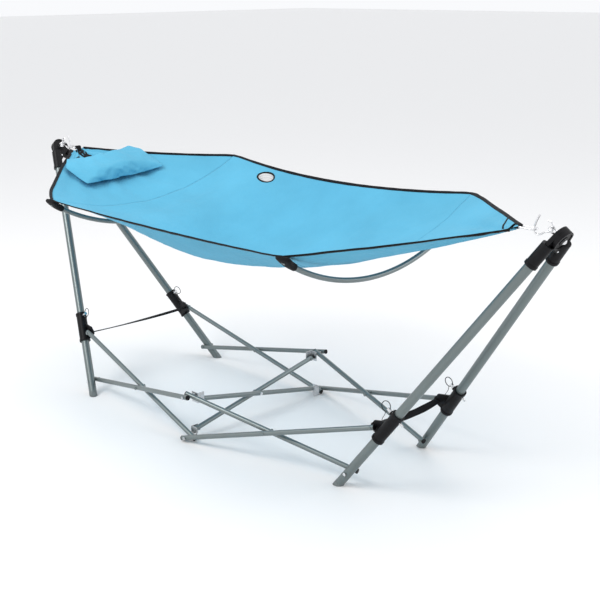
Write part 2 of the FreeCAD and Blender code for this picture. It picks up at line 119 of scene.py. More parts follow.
# --- node helpers ----------------------------------------------------------------------------------
class Shader:
    """A Principled material with short calls to add texture nodes to it."""

    def __init__(self, name, colour, roughness, metallic=0.0):
        self.material = bpy.data.materials.new(name)
        self.material.use_nodes = True
        self.tree = self.material.node_tree
        self.bsdf = self.tree.nodes["Principled BSDF"]
        self.colour = colour
        self.set(self.bsdf, "Base Color", (*colour, 1))
        self.set(self.bsdf, "Roughness", roughness)
        self.set(self.bsdf, "Metallic", metallic)
        self.material.diffuse_color = (*colour, 1)

    def set(self, node, socket, value):
        node.inputs[socket].default_value = value

    def node(self, kind, **inputs):
        made = self.tree.nodes.new("ShaderNode" + kind)
        for key, value in inputs.items():
            target = made.inputs[key.replace("_", " ")] if isinstance(key, str) else made.inputs[key]
            if isinstance(value, bpy.types.NodeSocket):
                self.tree.links.new(value, target)
            else:
                target.default_value = value
        return made

    def link(self, out, socket):
        self.tree.links.new(out, self.bsdf.inputs[socket])

    def place(self):
        return self.tree.nodes.new("ShaderNodeTexCoord").outputs["Object"]

    def uv(self):
        return self.tree.nodes.new("ShaderNodeTexCoord").outputs["UV"]

    def noise(self, vector, scale, detail=3.0, rough=0.5):
        made = self.node("TexNoise", Vector=vector, Scale=scale, Detail=detail, Roughness=rough)
        return made.outputs["Fac"]

    def math(self, operation, a, b=0.0):
        made = self.tree.nodes.new("ShaderNodeMath")
        made.operation = operation
        for index, value in enumerate((a, b)):
            if isinstance(value, bpy.types.NodeSocket):
                self.tree.links.new(value, made.inputs[index])
            else:
                made.inputs[index].default_value = value
        return made.outputs[0]

    def ramp(self, factor, stops):
        made = self.tree.nodes.new("ShaderNodeValToRGB")
        self.tree.links.new(factor, made.inputs["Fac"])
        elements = made.color_ramp.elements
        while len(elements) < len(stops):
            elements.new(0.5)
        for element, (position, value) in zip(elements, stops):
            element.position = position
            element.color = (*value, 1) if hasattr(value, "__len__") else (value, value, value, 1)
        return made.outputs["Color"]

    def tint(self, factor, low, high, at=(0.3, 0.7)):
        """Base colour between two shades of the material's colour."""
        dark = tuple(c * low for c in self.colour)
        light = tuple(min(1.0, c * high) for c in self.colour)
        self.link(self.ramp(factor, [(at[0], dark), (at[1], light)]), "Base Color")

    def bump(self, height, distance, strength=1.0, radius=0.0):
        made = self.tree.nodes.new("ShaderNodeBump")
        self.tree.links.new(height, made.inputs["Height"])
        made.inputs["Distance"].default_value = distance
        made.inputs["Strength"].default_value = strength
        if radius:
            bevel = self.tree.nodes.new("ShaderNodeBevel")
            bevel.samples = 4
            bevel.inputs["Radius"].default_value = radius
            self.tree.links.new(bevel.outputs["Normal"], made.inputs["Normal"])
        self.link(made.outputs["Normal"], "Normal")


def painted_tube(name, colour):
    """Satin grey powder coat with a faint orange peel and slightly duller patches."""
    s = Shader(name, colour, 0.32, 0.55)
    at = s.place()
    broad = s.noise(at, 6.0, 4.0)
    fine = s.noise(at, 45.0, 4.0, 0.6)
    s.tint(s.math("ADD", s.math("MULTIPLY", broad, 0.7), s.math("MULTIPLY", fine, 0.3)), 0.94, 1.05)
    s.link(s.ramp(fine, [(0.3, 0.28), (0.8, 0.36)]), "Roughness")
    s.bump(s.noise(at, 800.0, 2.0), 0.00003, 0.2, 0.0006)
    s.set(s.bsdf, "Coat Weight", 0.1)
    s.set(s.bsdf, "Coat Roughness", 0.25)
    return s.material


def moulded(name, colour, roughness=0.42):
    """Black moulded plastic: fine spark texture, slightly worn and dusty in places."""
    s = Shader(name, colour, roughness)
    at = s.place()
    dust = s.noise(at, 55.0, 5.0, 0.65)
    s.tint(dust, 0.8, 1.5, (0.35, 0.8))
    s.link(s.ramp(dust, [(0.3, roughness - 0.1), (0.8, roughness + 0.14)]), "Roughness")
    s.bump(s.noise(at, 1400.0, 3.0), 0.00012, 0.5, 0.0009)
    s.set(s.bsdf, "Specular IOR Level", 0.16)
    return s.material


def plated(name, colour, roughness):
    """Bright plated steel with fine wear marks."""
    s = Shader(name, colour, roughness, 1.0)
    at = s.place()
    wear = s.noise(at, 240.0, 6.0, 0.7)
    s.tint(wear, 0.82, 1.1)
    s.link(s.ramp(wear, [(0.3, roughness * 0.7), (0.75, roughness * 1.8)]), "Roughness")
    s.bump(s.noise(at, 700.0, 3.0), 0.00004, 0.4, 0.0004)
    return s.material


def woven(name, colour, pitch, roughness=0.78, relief=0.00018, mottled=(0.9, 1.08)):
    """Plain weave on UVs measured in metres: threads over and under, with uneven dye."""
    s = Shader(name, colour, roughness)
    parts = s.tree.nodes.new("ShaderNodeSeparateXYZ")
    s.tree.links.new(s.uv(), parts.inputs[0])
    turn = 2 * math.pi / pitch
    across = s.math("SINE", s.math("MULTIPLY", parts.outputs["X"], turn))
    along = s.math("SINE", s.math("MULTIPLY", parts.outputs["Y"], turn))
    threads = s.math("MULTIPLY", across, along)
    slub = s.noise(s.place(), 420.0, 3.0, 0.6)
    broad = s.noise(s.place(), 5.0, 4.0)
    height = s.math("ADD", s.math("MULTIPLY", threads, 0.5), slub)
    mixed = s.math("ADD", s.math("MULTIPLY", broad, 0.7), s.math("MULTIPLY", slub, 0.3))
    shade = s.math("ADD", mixed, s.math("MULTIPLY", threads, 0.03))
    s.tint(shade, *mottled)
    s.bump(height, relief, 0.5)
    s.set(s.bsdf, "Sheen Weight", 0.06)
    s.set(s.bsdf, "Sheen Roughness", 0.4)
    s.set(s.bsdf, "Specular IOR Level", 0.1)
    return s.material


BLUE = (0.105, 0.40, 0.58)
M = {
    "leg_paint": painted_tube("leg_paint", (0.16, 0.19, 0.19)),
    "bar_paint": painted_tube("bar_paint", (0.18, 0.21, 0.21)),
    "black_plastic": moulded("black_plastic", (0.006, 0.006, 0.007)),
    "plugs": moulded("plugs", (0.006, 0.006, 0.007), 0.5),
    "cap_rubber": moulded("cap_rubber", (0.15, 0.17, 0.17), 0.55),
    "black_wire": moulded("black_wire", (0.007, 0.007, 0.007), 0.4),
    "bright_metal": plated("bright_metal", (0.78, 0.78, 0.79), 0.16),
    "connector_steel": plated("connector_steel", (0.58, 0.59, 0.60), 0.28),
    "webbing": woven("webbing", (0.006, 0.006, 0.007), 0.0022, 0.7, 0.0004, (0.6, 1.5)),
    "bed_fabric": woven("bed_fabric", BLUE, 0.0011, 0.75),
    "pillow_fabric": woven("pillow_fabric", BLUE, 0.0011, 0.75),
    "thread": woven("thread", (0.02, 0.14, 0.24), 0.0008, 0.6),
    "net": woven("net", (0.55, 0.56, 0.57), 0.0009, 0.6),
}
for part in frame["record"]["subparts"]:
    mesh = nodes[part["node"]].data
    mesh.materials.clear()
    mesh.materials.append(M[part["material_slot"]])


# --- mesh helpers ----------------------------------------------------------------------------------
def make(name, verts, faces, slot, uvs=None, smooth=True):
    mesh = bpy.data.meshes.new(name)
    mesh.from_pydata([tuple(v) for v in verts], [], faces)
    mesh.update()
    if uvs is not None:
        layer = mesh.uv_layers.new(name="UVMap")
        index = np.empty(len(mesh.loops), dtype=int)
        mesh.loops.foreach_get("vertex_index", index)
        layer.data.foreach_set("uv", np.asarray(uvs, dtype=np.float32)[index].ravel())
    mesh.polygons.foreach_set("use_smooth", [smooth] * len(mesh.polygons))
    mesh.materials.append(M[slot])
    obj = bpy.data.objects.new(name, mesh)
    collection.objects.link(obj)
    return obj


def finish_modifiers(obj):
    """Bakes the object's modifiers into its mesh."""
    bpy.context.view_layer.update()
    done = bpy.data.meshes.new_from_object(obj.evaluated_get(bpy.context.evaluated_depsgraph_get()))
    obj.modifiers.clear()
    obj.data = done
    return obj


def grid_faces(rows, columns, closed=False):
    faces = []
    for i in range(rows - 1):
        for j in range(columns if closed else columns - 1):
            k = (j + 1) % columns
            faces.append((i * columns + j, i * columns + k, (i + 1) * columns + k, (i + 1) * columns + j))
    return faces


def normalised(v):
    return v / np.maximum(np.linalg.norm(v, axis=-1, keepdims=True), 1e-12)


# --- bed shape -------------------------------------------------------------------------------------
# The bed is worked out level, in metres along x and a share v from -1 (near edge) to 1 (far edge),
# then tipped about the hook line as in the CAD.
ROLL = math.radians(4.0)
HOOK_Z = 0.826
SHIFT_Y = -0.004
SPREADER_X = 0.568
TIP_X = 1.020
CORNER_Y = 0.420
EDGE_Z = 0.768
CUP = (-0.328, 0.352, 0.041, 0.019)  # centre x, y and half sizes of the cup holder's mouth


def smooth_step(t):
    t = np.clip(t, 0.0, 1.0)
    return t * t * (3 - 2 * t)


def edge_y(x, side):
    """Distance of an edge from the middle line. Each slanting edge bulges by its own amount."""
    a = np.abs(x)
    inner = CORNER_Y - 0.040 * (1 - np.minimum(a / SPREADER_X, 1) ** 2)
    t = np.clip((a - SPREADER_X) / (TIP_X - SPREADER_X), 0, 1)
    bulge = np.where(np.asarray(x) < 0, np.where(np.asarray(side) < 0, 0.017, -0.006),
                     np.where(np.asarray(side) < 0, -0.014, 0.011))
    outer = CORNER_Y + (0.026 - CORNER_Y) * t + bulge * smooth_step(t / 0.25) * smooth_step((1 - t) / 0.4)
    y = np.where(a < SPREADER_X, inner, outer)
    corner = np.exp(-((a - SPREADER_X) / 0.022) ** 2)
    return y - 0.007 * corner


def edge_z(x):
    a = np.abs(x)
    inner = EDGE_Z - 0.026 * (1 - np.minimum(a / SPREADER_X, 1) ** 2)
    t = np.clip((a - SPREADER_X) / (TIP_X - SPREADER_X), 0, 1)
    outer = EDGE_Z + (0.8225 - EDGE_Z) * t - 0.006 * np.sin(math.pi * t)
    return np.where(a < SPREADER_X, inner, outer)


def sag(x):
    """The cloth hangs lowest a little towards the head end."""
    a = np.abs(x)
    lowest = -0.06
    reach = np.where(np.asarray(x) < lowest, SPREADER_X + lowest, SPREADER_X - lowest)
    rim = 0.088 + 0.012 * smooth_step(np.asarray(x) / SPREADER_X * 0.5 + 0.5)
    inner = rim + (0.192 - rim) * (1 - np.minimum(np.abs(x - lowest) / reach, 1) ** 1.5)
    inner = inner - 0.026 * np.exp(-((x + 0.39) / 0.12) ** 2) * np.clip((x + SPREADER_X) / 0.1, 0, 1)
    t = np.clip((a - SPREADER_X) / (TIP_X - SPREADER_X), 0, 1)
    outer = rim + (0.004 - rim) * t ** 0.9
    return np.where(a < SPREADER_X, inner, outer)


def wave(p, scale, seed):
    return noise.noise(Vector((p[0] * scale + seed, p[1] * scale - seed, seed * 0.37)))


def folds(x, y, v):
    """Height of the soft folds and crumples of the cloth, in metres."""
    lift = np.zeros_like(x)
    fade = np.clip((1 - np.abs(v)) * 6, 0, 1)
    # long folds beside the slanting seam
    along = (x - seam_x(v))
    for offset, width, height in ((-0.050, 0.016, 0.0022), (-0.115, 0.022, 0.0026), (-0.21, 0.03, 0.002),
                                  (0.060, 0.016, 0.0022), (0.135, 0.024, 0.0024)):
        drift = 0.02 * np.sin(v * 3 + offset * 40)
        lift += height * np.exp(-((along - offset - drift) / width) ** 2) * np.cos(v * 1.2) ** 2
    # fans of creases running out from both hooks
    for end in (-1, 1):
        dx = TIP_X - end * x
        angle = np.arctan2(y, np.maximum(dx, 1e-3))
        reach = np.exp(-((dx - 0.20) / 0.24) ** 2)
        lift += 0.0030 * reach * np.sin(angle * 17 + 1.3 * end) * (1 - np.abs(v) ** 3)
        lift += 0.0016 * reach * np.sin(angle * 31 + 0.4)
    return lift * fade


def crumple(points, v):
    """Small uneven dents, finer where the cloth is slack."""
    out = np.zeros(len(points))
    for i, p in enumerate(points):
        a = abs(p[0])
        slack = 0.6 + 0.8 * math.exp(-((a - 0.30) / 0.30) ** 2)
        stretched = (p[0] * 0.55 + p[1] * 0.3, p[1] - p[0] * 0.25)
        out[i] = slack * (0.0030 * wave(stretched, 7.0, 3.1) + 0.0016 * wave(stretched, 19.0, 7.7)
                          + 0.0007 * wave(p, 46.0, 1.9))
    return out * np.clip((1 - np.abs(v)) * 9, 0, 1)


def seam_x(v):
    """The slanting double seam, from beside the near foot corner to the far edge's middle."""
    return 0.520 - 0.245 * (v + 1) + 0.018 * np.sin((v + 1) * math.pi)


def level_point(x, v):
    x, v = np.broadcast_arrays(np.asarray(x, float), np.asarray(v, float))
    side = np.where(v < 0, -1, 1)
    y = v * edge_y(x, side)
    z = edge_z(x) - sag(x) * (1 - np.abs(v) ** 2.1)
    return np.stack([x, y, z], axis=-1)


def tipped(points):
    p = np.asarray(points, float)
    y, z = p[..., 1], p[..., 2] - HOOK_Z
    c, s = math.cos(ROLL), math.sin(ROLL)
    return np.stack([p[..., 0], y * c - z * s + SHIFT_Y, HOOK_Z + y * s + z * c], axis=-1)


def bed_point(x, v, lift=0.0):
    """On the cloth, raised by lift along its normal, in the row frame."""
    x, v = np.broadcast_arrays(np.asarray(x, float), np.asarray(v, float))
    p = level_point(x, v)
    e = 1e-3
    dx = level_point(x + e, v) - level_point(x - e, v)
    dv = level_point(x, np.clip(v + e, -1, 1)) - level_point(x, np.clip(v - e, -1, 1))
    normal = normalised(np.cross(dx, dv))
    flat = p.reshape(-1, 3)
    height = folds(p[..., 0], p[..., 1], v) + crumple(flat, v.reshape(-1)).reshape(v.shape)
    return tipped(p + normal * (height + lift)[..., None])


def bed_uv(x, v):
    y = v * edge_y(x, 1)
    return np.stack([x, y * (1 + 0.25 * (sag(x) / 0.4) ** 2)], axis=-1)


def sheet_panel(name, x_from, x_to, step, columns, hole=None):
    """One panel of the bed as a fine grid, with an oval hole where one is given."""
    rows = max(3, int(abs(x_to - x_from) / step) + 1)
    xs = np.linspace(x_from, x_to, rows)
    vs = np.linspace(-1, 1, columns)
    X, Vv = np.meshgrid(xs, vs, indexing="ij")
    if hole is not None:
        cx, cy, hx, hy = hole
        Y = Vv * edge_y(X, 1)
        dx, dy = (X - cx) / hx, (Y - cy) / hy
        r = np.sqrt(dx * dx + dy * dy)
        # nearby grid lines are drawn onto the rim, so that the hole is a clean oval
        near = (r > 0.82) & (r < 1.14)
        scale = np.where(near, 1.0 / np.maximum(r, 1e-6), 1.0)
        X = np.where(near, cx + (X - cx) * scale, X)
        Y = np.where(near, cy + (Y - cy) * scale, Y)
        Vv = Y / edge_y(X, 1)
    points = bed_point(X, Vv).reshape(-1, 3)
    faces = grid_faces(rows, columns)
    if hole is not None:
        inside = ((r <= 1.14)).reshape(-1)
        faces = [f for f in faces if not all(inside[i] for i in f)]
    obj = make(name, points, faces, "bed_fabric", bed_uv(X, Vv).reshape(-1, 2))
    bm = bmesh.new()
    bm.from_mesh(obj.data)
    bmesh.ops.delete(bm, geom=[v for v in bm.verts if not v.link_faces], context="VERTS")
    bm.to_mesh(obj.data)
    bm.free()
    solid = obj.modifiers.new("thickness", "SOLIDIFY")
    solid.thickness = 0.0009
    solid.offset = -1
    return finish_modifiers(obj)


COLUMNS = 181
STEP = 0.0065
middle = sheet_panel("bed_cloth_middle", -SPREADER_X, SPREADER_X, STEP, COLUMNS, CUP)
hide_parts("bed_panel_middle")
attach(middle, "bed")
for name, end in ENDS.items():
    piece = sheet_panel("bed_cloth_" + name, end * SPREADER_X, end * TIP_X, STEP, COLUMNS)
    if end < 0:
        piece.data.flip_normals()
    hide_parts("bed_panel_" + name)
    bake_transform(piece)


# --- things sewn to the bed ------------------------------------------------------------------------
def sweep(name, centres, across, normals, outline, slot):
    """A cross-section outline [(across, up)] carried along centres."""
    outline = np.asarray(outline, float)
    rows, columns = len(centres), len(outline)
    rings = (centres[:, None, :] + outline[None, :, 0:1] * across[:, None, :]
             + outline[None, :, 1:2] * normals[:, None, :])
    length = np.concatenate([[0], np.cumsum(np.linalg.norm(np.diff(centres, axis=0), axis=1))])
    round_ = np.concatenate([[0], np.cumsum(np.linalg.norm(np.diff(outline, axis=0), axis=1))])
    uv = np.stack(np.meshgrid(length, round_, indexing="ij"), axis=-1).reshape(-1, 2)
    faces = grid_faces(rows, columns, closed=True)
    verts = rings.reshape(-1, 3)
    faces.append(tuple(range(columns))[::-1])
    faces.append(tuple((rows - 1) * columns + j for j in range(columns)))
    obj = make(name, verts, faces, slot, uv)
    bm = bmesh.new()
    bm.from_mesh(obj.data)
    bmesh.ops.recalc_face_normals(bm, faces=bm.faces)
    bm.to_mesh(obj.data)
    bm.free()
    return obj


def rounded(width, thick, corner=None, steps=3):
    """Outline of a flat strip with rounded corners."""
    corner = corner or thick * 0.45
    points = []
    for cx, cy, start in ((1, 1, 0), (-1, 1, 90), (-1, -1, 180), (1, -1, 270)):
        for k in range(steps + 1):
            a = math.radians(start + 90 * k / steps)
            points.append((cx * (width / 2 - corner) + corner * math.cos(a),
                           cy * (thick / 2 - corner) + corner * math.sin(a)))
    return points


def strip_on_bed(name, route, width, thick, slot, lift=None):
    """Flat tape that follows (x, v) points on the cloth."""
    route = np.asarray(route, float)
    lift = 0.0006 + thick / 2 if lift is None else lift
    centre = bed_point(route[:, 0], route[:, 1], lift)
    above = bed_point(route[:, 0], route[:, 1], lift + 0.002)
    up = normalised(above - centre)
    ahead = normalised(np.gradient(centre, axis=0))
    across = normalised(np.cross(up, ahead))
    return sweep(name, centre, across, up, rounded(width, thick), slot)


def edge_binding(name, x_from, x_to, side, count, width=0.0115):
    """Black tape folded over the edge of the cloth, a little uneven along its length."""
    xs = np.linspace(x_from, x_to, count)
    edge = bed_point(xs, np.full(count, float(side)))
    inner = bed_point(xs, np.full(count, side * 0.97))
    inwards = normalised(inner - edge)
    ahead = normalised(np.gradient(edge, axis=0))
    up = normalised(np.cross(inwards, ahead))
    up = up * np.sign(up[:, 2:3])
    square = np.cross(ahead, up)
    inwards = normalised(square) * np.sign(np.sum(square * inwards, axis=1, keepdims=True))
    ripple = np.array([0.0009 * wave((x * 3, side), 9.0, 5.5) for x in xs])
    centre = edge + inwards * (width / 2 - 0.0030) + up * ripple[:, None]
    return sweep(name, centre, inwards, up, rounded(width, 0.0040, 0.0018), "webbing")


def stitches(name, points, ups, slot="thread", length=0.0032, gap=0.0018, thick=0.0006):
    """A row of single stitches standing slightly proud of the cloth."""
    points = np.asarray(points, float)
    steps = np.linalg.norm(np.diff(points, axis=0), axis=1)
    total = np.concatenate([[0], np.cumsum(steps)])
    verts, faces = [], []
    at = gap
    outline = [(math.cos(a) * thick, math.sin(a) * thick * 0.8) for a in np.linspace(0, 2 * math.pi, 7)[:-1]]
    while at + length < total[-1]:
        ends = []
        for s in (at, at + length * 0.25, at + length * 0.75, at + length):
            ends.append(np.array([np.interp(s, total, points[:, k]) for k in range(3)]))
        up = normalised(np.array([np.interp(at, total, ups[:, k]) for k in range(3)]))
        ahead = normalised(ends[-1] - ends[0])
        side = np.cross(up, ahead)
        first = len(verts)
        for k, centre in enumerate(ends):
            dip = -thick * 0.9 if k in (0, 3) else 0.0
            shrink = 0.45 if k in (0, 3) else 1.0
            for a, b in outline:
                verts.append(centre + side * a * shrink + up * (b * shrink + dip))
        faces += [tuple(first + i for i in f) for f in grid_faces(4, 6, closed=True)]
        at += length + gap
    return make(name, verts, faces, slot)


def seam_on_bed(name, route, **more):
    route = np.asarray(route, float)
    low = bed_point(route[:, 0], route[:, 1], 0.0002)
    high = bed_point(route[:, 0], route[:, 1], 0.0022)
    return stitches(name, low, normalised(high - low), **more)


bed_trim = []
for side_name, side in SIDES.items():
    bed_trim.append(edge_binding("binding_middle_" + side_name, -SPREADER_X, SPREADER_X, side, 160))
    for name, end in ENDS.items():
        tape = edge_binding(f"binding_{name}_{side_name}", end * SPREADER_X, end * (TIP_X - 0.002), side, 80)
        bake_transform(tape)
vs = np.linspace(-0.965, 0.965, 150)
for k, offset in enumerate((-0.011, 0.011)):
    bed_trim.append(seam_on_bed(f"slant_seam_{k}", np.stack([seam_x(vs) + offset, vs], axis=-1)))
for side_name, side in SIDES.items():
    xs = np.linspace(-SPREADER_X, SPREADER_X, 200)
    inner = side * (1 - 0.0066 / edge_y(xs, side))
    bed_trim.append(seam_on_bed("binding_stitches_" + side_name, np.stack([xs, inner], axis=-1),
                                slot="webbing", thick=0.0007))


# --- cup holder ------------------------------------------------------------------------------------
def cup_ring(scale, drop, count):
    """Points round the mouth of the cup holder; drop hangs them below the cloth."""
    cx, cy, hx, hy = CUP
    t = np.linspace(0, 2 * math.pi, count, endpoint=False)
    x = cx + hx * scale * np.cos(t)
    y = cy + hy * scale * np.sin(t)
    p = bed_point(x, y / edge_y(x, 1))
    p[:, 2] -= drop
    return p


count = 96
rim = cup_ring(1.0, 0.0, count)
rim_out = cup_ring(1.06, 0.0, count)
outwards = normalised(rim_out - rim)
ahead = normalised(np.roll(rim, -1, axis=0) - np.roll(rim, 1, axis=0))
rim_up = normalised(np.cross(outwards, ahead))
rim_up *= np.sign(rim_up[:, 2:3])
outline = np.asarray(rounded(0.0075, 0.0036, 0.0016))
verts = (rim[:, None] + outline[None, :, 0:1] * outwards[:, None]
         + outline[None, :, 1:2] * rim_up[:, None]).reshape(-1, 3)
columns = len(outline)
faces = [(i * columns + j, i * columns + (j + 1) % columns,
          ((i + 1) % count) * columns + (j + 1) % columns, ((i + 1) % count) * columns + j)
         for i in range(count) for j in range(columns)]
uv = np.stack(np.meshgrid(np.linspace(0, 0.43, count), np.linspace(0, 0.03, columns), indexing="ij"), -1)
uv = uv.reshape(-1, 2)
cup_binding = make("cup_binding", verts, faces, "webbing", uv)
bed_trim.append(cup_binding)

around, down = 60, 15
rings = []
for i in range(down):
    t = i / (down - 1)
    scale = 0.99 - 0.20 * t - 0.62 * max(0.0, (t - 0.72) / 0.28) ** 2
    rings.append(cup_ring(scale, 0.085 * (1 - (1 - t) ** 1.6), around))
pouch_faces = grid_faces(down, around, closed=True)
pouch_faces.append(tuple((down - 1) * around + j for j in range(around))[::-1])
cup_net = make("cup_net", np.concatenate(rings), pouch_faces, "net", np.zeros((down * around, 2)))
wire = cup_net.modifiers.new("net", "WIREFRAME")
wire.thickness = 0.0011
wire.use_even_offset = False
finish_modifiers(cup_net)
bed_trim.append(cup_net)


# --- webbing at the tips and small tabs ------------------------------------------------------------
def ribbon(name, points, ups, width, thick, slot="webbing"):
    points, ups = np.asarray(points, float), np.asarray(ups, float)
    ahead = normalised(np.gradient(points, axis=0))
    across = normalised(np.cross(ups, ahead))
    up = normalised(np.cross(ahead, across))
    return sweep(name, points, across, up, rounded(width, thick), slot)


def spline(points, count):
    """A smooth line through points, as Catmull-Rom."""
    p = np.asarray(points, float)
    p = np.concatenate([[2 * p[0] - p[1]], p, [2 * p[-1] - p[-2]]])
    out = []
    spans = len(p) - 3
    for t in np.linspace(0, spans, count):
        i = min(int(t), spans - 1)
        f = t - i
        a, b, c, d = p[i:i + 4]
        out.append(0.5 * (2 * b + (c - a) * f + (2 * a - 5 * b + 4 * c - d) * f * f
                          + (3 * b - a - 3 * c + d) * f ** 3))
    return np.array(out)


for name, end in ENDS.items():
    ring_low, ring_high = (np.array(c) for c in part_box("bed_ring_" + name))
    wire_x = end * (min(abs(ring_low[0]), abs(ring_high[0])) + 0.0026)
    wire_z = (ring_low[2] + ring_high[2]) / 2
    # the band goes under the cloth, round the ring's wire and back over the cloth
    top = [bed_point(end * x, 0.0, 0.0028) for x in (0.928, 0.950, 0.975, 1.000)]
    under = [bed_point(end * x, 0.0, -0.0034) for x in (1.000, 0.975, 0.955)]
    turn = [np.array([wire_x + end * dx, 0, wire_z + dz]) for dx, dz in (
        (-0.012, 0.0052), (0.0006, 0.0052), (0.0052, 0), (0.0006, -0.0052), (-0.012, -0.0046))]
    line = spline(np.array(top + turn + under), 90)
    ahead = normalised(np.gradient(line, axis=0))
    ups = np.cross(ahead, np.array([0.0, 1.0, 0.0])) * -1
    band = ribbon("tip_band_" + name, line, ups, 0.017, 0.0016)
    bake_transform(band)
    # a wider pointed patch under the band where it is sewn down
    xs = np.linspace(0.915, 1.012, 24)
    half = 0.017 * np.clip((xs - 0.912) / 0.018, 0, 1)
    rows = []
    for x, h in zip(xs, half):
        share = np.linspace(-1, 1, 7) * h / edge_y(x, 1)
        rows.append(bed_point(np.full(7, end * x), share, 0.0012))
    patch = make("tip_patch_" + name, np.concatenate(rows), grid_faces(24, 7), "webbing",
                 np.stack(np.meshgrid(xs, np.linspace(-0.017, 0.017, 7), indexing="ij"), -1).reshape(-1, 2))
    if end < 0:
        patch.data.flip_normals()
    shell = patch.modifiers.new("thickness", "SOLIDIFY")
    shell.thickness = 0.0014
    shell.offset = 1
    finish_modifiers(patch)
    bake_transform(patch)
    for k, (x0, v0, x1, v1) in enumerate(((0.918, -0.99, 0.957, -0.42), (0.905, 0.99, 0.945, 0.45))):
        n = 14
        route = np.stack([np.linspace(end * x0, end * x1, n), np.linspace(v0, v1, n)], axis=-1)
        tab = strip_on_bed(f"tab_{name}_{k}", route, 0.006, 0.0018, "webbing")
        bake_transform(tab)


# --- pockets over the ends of the spreader bars ----------------------------------------------------
def bow_point(end, y):
    """On the axis of a spreader bar, level frame."""
    half, z_end, bow = CORNER_Y - 0.008, EDGE_Z - 0.014, 0.140
    radius = (half * half + bow * bow) / (2 * bow)
    return np.array([end * SPREADER_X, y, z_end - bow + radius - math.sqrt(radius * radius - y * y)])


for name, end in ENDS.items():
    for side_name, side in SIDES.items():
        tip, low = bow_point(end, side * 0.412), bow_point(end, side * 0.372)
        way = normalised(low - tip)
        up = normalised(np.cross(np.array([1.0, 0, 0]), way))
        up = up * np.sign(up[2])
        sections = []
        for s, wide, thick, rise in ((-0.013, 0.010, 0.003, 0.006), (-0.011, 0.027, 0.0065, 0.005),
                                     (-0.004, 0.029, 0.0085, 0.004), (0.010, 0.023, 0.0105, 0.0015),
                                     (0.024, 0.0165, 0.0110, 0.0), (0.040, 0.0120, 0.0108, 0.0),
                                     (0.047, 0.0112, 0.0106, 0.0), (0.048, 0.0100, 0.0096, 0.0)):
            centre = tip + way * s + up * rise
            ring = []
            for k in range(28):
                a = 2 * math.pi * k / 28
                c, d = math.cos(a), math.sin(a)
                px = math.copysign(abs(c) ** 0.75, c) * wide
                pz = math.copysign(abs(d) ** 0.75, d) * thick
                ring.append(centre + np.array([1.0, 0, 0]) * px + up * pz)
            sections.append(tipped(np.array(ring)))
        verts = np.concatenate(sections)
        faces = grid_faces(len(sections), 28, closed=True)
        faces += [tuple(range(28))[::-1], tuple((len(sections) - 1) * 28 + j for j in range(28))]
        uv = np.stack(np.meshgrid(np.linspace(0, 0.06, len(sections)), np.linspace(0, 0.08, 28),
                                  indexing="ij"), -1)
        pocket = make(f"pocket_{name}_{side_name}", verts, faces, "webbing", uv.reshape(-1, 2))
        bm = bmesh.new()
        bm.from_mesh(pocket.data)
        bmesh.ops.recalc_face_normals(bm, faces=bm.faces)
        bm.to_mesh(pocket.data)
        bm.free()
        soft = pocket.modifiers.new("soft", "SUBSURF")
        soft.levels = soft.render_levels = 1
        finish_modifiers(pocket)
        bed_trim.append(pocket)

for piece in bed_trim:
    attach(piece, "bed")


# --- pillow ----------------------------------------------------------------------------------------
PILLOW_LENGTH, PILLOW_WIDTH = 0.200, 0.372


def pillow_blank(columns, rows):
    """Two layers joined along the edge, very slightly apart."""
    xs = np.linspace(-PILLOW_LENGTH / 2, PILLOW_LENGTH / 2, rows)
    ys = np.linspace(-PILLOW_WIDTH / 2, PILLOW_WIDTH / 2, columns)
    verts, top, low = [], {}, {}
    for i, x in enumerate(xs):
        for j, y in enumerate(ys):
            rim = i in (0, rows - 1) or j in (0, columns - 1)
            u = abs(2 * x / PILLOW_LENGTH)
            w = abs(2 * y / PILLOW_WIDTH)
            height = 0.012 * (1 - u ** 4) * (1 - w ** 4)
            # corners pull in a little
            fx = x * (1 - 0.02 * w ** 4)
            fy = y * (1 - 0.03 * u ** 4)
            top[i, j] = len(verts)
            verts.append((fx, fy, 0.0 if rim else height))
            if rim:
                low[i, j] = top[i, j]
            else:
                low[i, j] = len(verts)
                verts.append((fx, fy, -height))
    faces = []
    for i in range(rows - 1):
        for j in range(columns - 1):
            faces.append((top[i, j], top[i + 1, j], top[i + 1, j + 1], top[i, j + 1]))
            faces.append((low[i, j], low[i, j + 1], low[i + 1, j + 1], low[i + 1, j]))
    return verts, faces


def inflate(obj, frames, pressure):
    """Puffs a closed cloth shell with Blender's cloth solver and keeps the result."""
    cloth = obj.modifiers.new("cloth", "CLOTH")
    s = cloth.settings
    s.quality = 6
    s.mass = 0.25
    s.tension_stiffness = 25
    s.compression_stiffness = 8
    s.shear_stiffness = 10
    s.bending_stiffness = 0.35
    s.use_pressure = True
    s.uniform_pressure_force = pressure
    s.effector_weights.gravity = 0
    s.air_damping = 3
    cloth.collision_settings.use_self_collision = False
    cloth.point_cache.frame_start = 1
    cloth.point_cache.frame_end = frames
    scene.frame_start, scene.frame_end = 1, frames
    for f in range(1, frames + 1):
        scene.frame_set(f)
    finish_modifiers(obj)
    scene.frame_set(1)


rows, columns = ((37, 67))
verts, faces = pillow_blank(columns, rows)
pillow = make("head_pillow", verts, faces, "pillow_fabric")
start = np.array([v.co for v in pillow.data.vertices])
inflate(pillow, 26, 3.2)
shape = np.array([v.co for v in pillow.data.vertices])
print("pillow puffed to", np.round(shape.min(axis=0), 4), np.round(shape.max(axis=0), 4))


